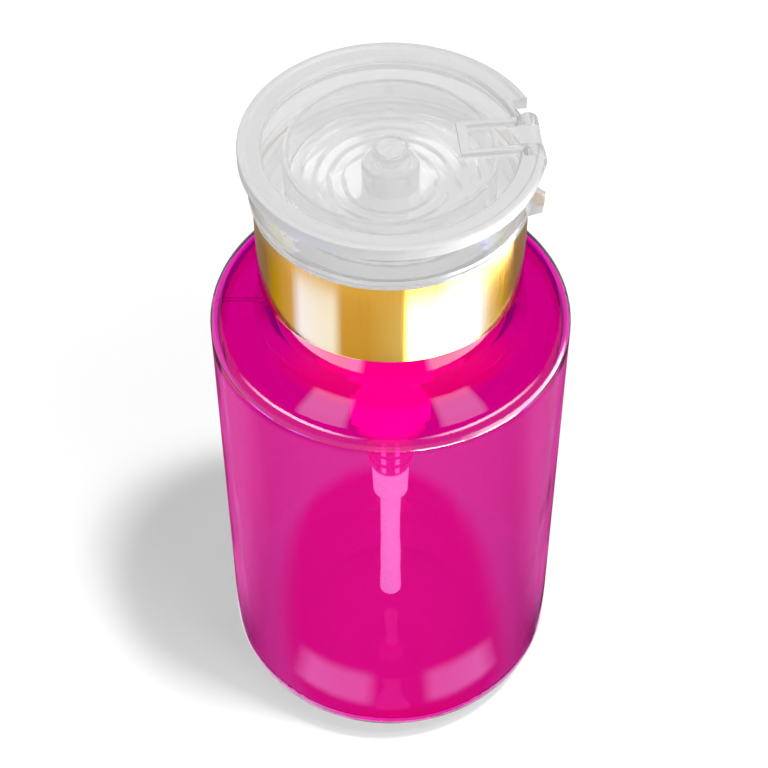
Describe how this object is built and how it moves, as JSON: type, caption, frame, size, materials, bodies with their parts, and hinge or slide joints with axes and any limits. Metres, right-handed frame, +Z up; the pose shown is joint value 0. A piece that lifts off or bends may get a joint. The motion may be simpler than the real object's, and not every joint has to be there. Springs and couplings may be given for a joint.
{
  "type": "nail polish remover pump",
  "caption": "Push-down pump bottle that wells liquid up into a dish under a flip lid, to wet a pad with one hand.",
  "frame": {"origin": "middle of the bottle's foot ring, on the surface it stands on", "axes": "+Z up along the bottle's axis; the lid's hinge is on +X"},
  "size_m": [0.061, 0.061, 0.1273],
  "materials": {
    "magenta_clear": "clear magenta, blow moulded, high gloss",
    "natural_plastic": "natural, slightly milky, moulded",
    "white_plastic": "white, moulded",
    "soft_white": "soft, white",
    "steel": "drawn and polished stainless",
    "gold_anodised": "bright gold anodised",
    "clear_plastic": "clear, moulded, high gloss",
    "frosted_plastic": "natural, frosted, moulded"
  },
  "bodies": {
    "bottle": {"bottle": "magenta_clear"},
    "pump": {"pump_housing": "natural_plastic", "neck_gasket": "soft_white", "dip_tube": "natural_plastic", "valve_cage": "natural_plastic", "stem_guide": "natural_plastic", "return_spring": "steel"},
    "closure": {"screw_cap": "white_plastic", "gold_collar": "gold_anodised"},
    "shell": {"top_shell": "clear_plastic", "hinge_pin": "frosted_plastic"},
    "lid": {"lid": "frosted_plastic", "lid_seal": "soft_white"},
    "plunger": {"push_dish": "clear_plastic", "nozzle_tip": "clear_plastic", "stem": "natural_plastic", "piston_seal": "soft_white", "piston_carrier": "natural_plastic"},
    "inlet_ball": {"inlet_ball": "steel"},
    "outlet_ball": {"outlet_ball": "steel"}
  },
  "joints": [
    {"name": "pump_lift", "type": "slide", "parent": "bottle", "child": "pump", "axis": [0, 0, 1], "range_m": [0, 0.0037]},
    {"name": "cap_unscrew", "type": "hinge", "parent": "pump", "child": "closure", "pos_m": [0, 0, 0.1], "axis": [0, 0, 1], "range_deg": [0, 314]},
    {"name": "lock_turn", "type": "hinge", "parent": "closure", "child": "shell", "pos_m": [0, 0, 0.117], "axis": [0, 0, 1], "range_deg": [0, 30]},
    {"name": "lid_open", "type": "hinge", "parent": "shell", "child": "lid", "pos_m": [0.0222, 0, 0.125], "axis": [0, 1, 0], "range_deg": [0, 115]},
    {"name": "dish_press", "type": "slide", "parent": "pump", "child": "plunger", "axis": [0, 0, 1], "range_m": [-0.005, 0], "stiffness_N_per_m": 500, "springref_m": 0.012, "deforming": ["return_spring"]},
    {"name": "inlet_ball_lift", "type": "slide", "parent": "pump", "child": "inlet_ball", "axis": [0, 0, 1], "range_m": [0, 0.0012]},
    {"name": "outlet_ball_lift", "type": "slide", "parent": "plunger", "child": "outlet_ball", "axis": [0, 0, 1], "range_m": [0, 0.001]}
  ],
  "couplings": [
    {"joint": "pump_lift", "follows": "cap_unscrew", "m_per_rad": 0.00067322}
  ]
}
